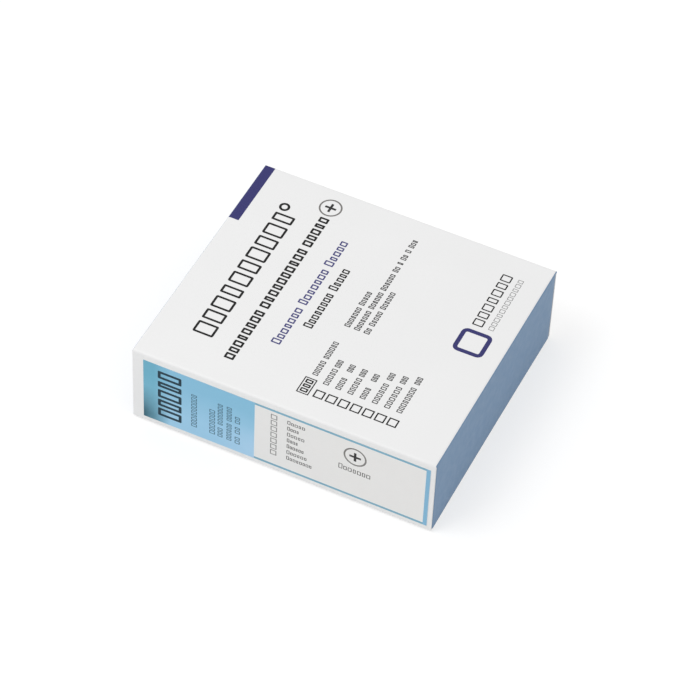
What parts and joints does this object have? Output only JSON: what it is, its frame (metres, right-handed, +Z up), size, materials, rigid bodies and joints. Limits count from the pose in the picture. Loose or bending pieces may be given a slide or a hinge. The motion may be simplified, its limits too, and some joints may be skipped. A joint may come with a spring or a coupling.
{
  "type": "box of microscope slides",
  "caption": "Low boxboard box with a full-depth lift-off lid and a front label, holding clipped-corner glass microscope slides on edge with a foam spacer.",
  "frame": {"origin": "on the table, under the middle of the closed box", "axes": "+X along the front wall to the right, +Y to the back, +Z up; the slides lie front to back and stand on their long edges"},
  "size_m": [0.09, 0.0801, 0.027],
  "materials": {
    "printed_board": "clay-coated white boxboard with printed fields and blue-grey ends, satin",
    "label_paper": "coated label paper, sky blue and white print, satin",
    "plain_board": "white-lined boxboard, uncoated inside, matte",
    "foam": "white expanded polyethylene foam, matte",
    "slide_glass": "clear soda-lime glass with ground edges and a white frosted end"
  },
  "bodies": {
    "tray": {"tray": "plain_board", "foam_spacer": "foam", "slide_pair_01": "slide_glass", "slide_pair_02": "slide_glass", "slide_pair_03": "slide_glass", "slide_pair_04": "slide_glass", "slide_pair_05": "slide_glass", "slide_pair_06": "slide_glass", "slide_pair_07": "slide_glass", "slide_pair_08": "slide_glass", "slide_pair_09": "slide_glass", "slide_pair_10": "slide_glass", "slide_pair_11": "slide_glass", "slide_pair_12": "slide_glass", "slide_pair_13": "slide_glass", "slide_pair_14": "slide_glass", "slide_pair_15": "slide_glass", "slide_pair_16": "slide_glass", "slide_pair_17": "slide_glass", "slide_pair_18": "slide_glass", "slide_pair_19": "slide_glass", "slide_pair_20": "slide_glass", "slide_pair_21": "slide_glass", "slide_pair_22": "slide_glass", "slide_pair_23": "slide_glass", "slide_pair_24": "slide_glass", "slide_pair_25": "slide_glass", "slide_pair_26": "slide_glass", "slide_pair_27": "slide_glass", "slide_pair_28": "slide_glass", "slide_pair_29": "slide_glass", "slide_pair_30": "slide_glass", "slide_pair_31": "slide_glass", "slide_pair_32": "slide_glass", "slide_pair_33": "slide_glass", "slide_pair_34": "slide_glass", "slide_pair_35": "slide_glass", "slide_pair_36": "slide_glass"},
    "lid": {"lid": "printed_board", "front_label": "label_paper"}
  },
  "joints": [
    {"name": "lid_lift", "type": "slide", "parent": "tray", "child": "lid", "axis": [0, 0, 1], "range_m": [0, 0.05]}
  ]
}
